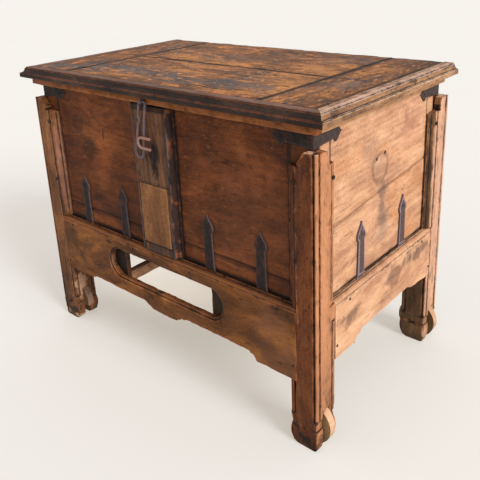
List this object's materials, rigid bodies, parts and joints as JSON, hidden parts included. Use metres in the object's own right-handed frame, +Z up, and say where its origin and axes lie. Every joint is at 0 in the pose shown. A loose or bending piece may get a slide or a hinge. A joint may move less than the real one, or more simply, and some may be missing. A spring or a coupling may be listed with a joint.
{
  "type": "storage trunk",
  "caption": "Old wooden chest on a post-and-rail stand, with moulded hinged lid, iron straps, hanging hasp, slotted front rail and wooden wheels let into the feet.",
  "frame": {"origin": "centre of the part's outline on the floor, under the feet", "axes": "+X along the front to the viewer's right, +Y from the front to the rear, +Z up"},
  "size_m": [1.144, 0.6946, 0.887],
  "materials": {
    "wood_brown": "worn waxed softwood, reddish brown",
    "wood_box": "worn waxed softwood boards, reddish brown",
    "wood_lid": "worn orange brown with grey patches",
    "wood_dark": "near-black worn moulding with orange edges",
    "wood_old": "dark unfinished old wood",
    "wood_gold": "newer golden board, scuffed",
    "iron": "forged, near-black with rust",
    "wood_wheel": "pale bare wood, olive brown on the faces"
  },
  "bodies": {
    "chest": {"leg_front_left": "wood_brown", "leg_front_right": "wood_brown", "leg_rear_left": "wood_brown", "leg_rear_right": "wood_brown", "rail_front": "wood_brown", "rail_rear": "wood_brown", "rail_left": "wood_brown", "rail_right": "wood_brown", "post_front": "wood_brown", "post_patch": "wood_gold", "hangers": "wood_old", "runners": "wood_old", "box_front_lower": "wood_box", "box_front_upper": "wood_box", "box_rear_lower": "wood_box", "box_rear_upper": "wood_box", "box_left_lower": "wood_box", "box_left_upper": "wood_box", "box_right_lower": "wood_box", "box_right_upper": "wood_box", "floor_front": "wood_old", "floor_middle": "wood_old", "floor_rear": "wood_old", "iron_front_left": "iron", "iron_front_right": "iron", "iron_rear_left": "iron", "iron_rear_right": "iron", "straps_front": "iron", "straps_left": "iron", "straps_right": "iron", "hinge_leaves_box": "iron", "hinge_pins": "iron", "wheel_front_left": "wood_wheel", "axle_pins": "wood_old", "iron_nails": "iron", "rail_nails": "iron", "leg_pegs": "wood_old"},
    "lid": {"lid_board_front": "wood_lid", "lid_board_rear": "wood_lid", "lid_board_left": "wood_lid", "lid_board_right": "wood_lid", "lid_moulding_front": "wood_dark", "lid_moulding_left": "wood_dark", "lid_moulding_right": "wood_lid", "lid_lip_front": "wood_brown", "lid_lip_left": "wood_brown", "lid_lip_right": "wood_brown", "lid_staple": "iron", "hinge_leaves_lid": "iron"},
    "hasp": {"hasp": "iron", "shackle": "iron"},
    "wheel_front_right_body": {"wheel_front_right": "wood_wheel"},
    "wheel_rear_left_body": {"wheel_rear_left": "wood_wheel"},
    "wheel_rear_right_body": {"wheel_rear_right": "wood_wheel"}
  },
  "joints": [
    {"name": "lid_hinge", "type": "hinge", "parent": "chest", "child": "lid", "pos_m": [0, 0.3337, 0.855], "axis": [-1, 0, 0], "range_deg": [0, 100]},
    {"name": "hasp_hinge", "type": "hinge", "parent": "lid", "child": "hasp", "pos_m": [-0.003, -0.3338, 0.843], "axis": [-1, 0, 0], "range_deg": [0, 115]},
    {"name": "wheel_front_right_spin", "type": "hinge", "parent": "chest", "child": "wheel_front_right_body", "pos_m": [0.5, -0.2843, 0.061], "axis": [0, 1, 0], "continuous": true},
    {"name": "wheel_rear_left_spin", "type": "hinge", "parent": "chest", "child": "wheel_rear_left_body", "pos_m": [-0.5, 0.3057, 0.061], "axis": [0, 1, 0], "continuous": true},
    {"name": "wheel_rear_right_spin", "type": "hinge", "parent": "chest", "child": "wheel_rear_right_body", "pos_m": [0.5, 0.3057, 0.061], "axis": [0, 1, 0], "continuous": true}
  ]
}
